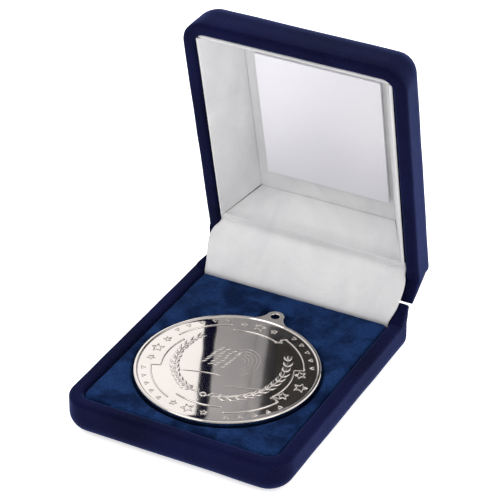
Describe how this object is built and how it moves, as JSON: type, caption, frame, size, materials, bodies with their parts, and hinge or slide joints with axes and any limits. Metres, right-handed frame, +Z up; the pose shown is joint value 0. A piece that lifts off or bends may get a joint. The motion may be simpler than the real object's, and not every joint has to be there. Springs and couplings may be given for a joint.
{
  "type": "boxed medal",
  "caption": "Struck silver-coloured medal with a pierced lug, lying in the velvet pad of a hinged, velvet covered presentation box that stands open.",
  "frame": {"origin": "middle of the box's underside, on the surface that it stands on", "axes": "+Z up, +Y from the front towards the hinge, +X to the right as seen from the front"},
  "size_m": [0.0782, 0.115, 0.1093],
  "materials": {
    "cover_velvet": "navy blue flock velvet, short pile",
    "pad_velvet": "royal blue velvet, short pile with brushed patches",
    "shell_plastic": "dark moulded plastic",
    "underside_paper": "dark blue textured paper",
    "foam": "soft foam",
    "card": "grey board",
    "lining_leatherette": "soft white leatherette, faintly creased",
    "plate_metal": "satin, brushed very fine",
    "tape": "double-sided tape",
    "medal_silver": "polished, warm silver plating",
    "hinge_steel": "plated sheet steel"
  },
  "bodies": {
    "base": {"base_cover": "cover_velvet", "base_gusset_left": "cover_velvet", "base_gusset_right": "cover_velvet", "base_hinge_leaf": "hinge_steel", "base_hinge_rivet_left": "hinge_steel", "base_hinge_rivet_right": "hinge_steel", "base_shell": "shell_plastic", "base_underside_sheet": "underside_paper", "hinge_flap": "lining_leatherette", "hinge_pin": "hinge_steel", "hinge_spring_left": "hinge_steel", "hinge_spring_right": "hinge_steel", "insert_board": "card", "insert_foam": "foam", "insert_riser": "card", "insert_velvet": "pad_velvet"},
    "lid": {"lid_cover": "cover_velvet", "lid_gusset_left": "cover_velvet", "lid_gusset_right": "cover_velvet", "lid_hinge_leaf": "hinge_steel", "lid_hinge_rivet_left": "hinge_steel", "lid_hinge_rivet_right": "hinge_steel", "lid_lining_board": "card", "lid_lining_front": "lining_leatherette", "lid_lining_left": "lining_leatherette", "lid_lining_panel": "lining_leatherette", "lid_lining_rear": "lining_leatherette", "lid_lining_right": "lining_leatherette", "lid_plate": "plate_metal", "lid_shell": "shell_plastic", "plate_tape": "tape"},
    "medal": {"medal": "medal_silver"}
  },
  "joints": [
    {"name": "lid_hinge", "type": "hinge", "parent": "base", "child": "lid", "pos_m": [0, 0.0536, 0.011], "axis": [1, 0, 0], "range_deg": [0, 77.4], "deforming": ["hinge_flap", "base_gusset_left", "base_gusset_right", "lid_gusset_left", "lid_gusset_right"]},
    {"name": "medal_lift", "type": "slide", "parent": "base", "child": "medal", "axis": [0, 0, 1], "range_m": [0, 0.0045]}
  ]
}
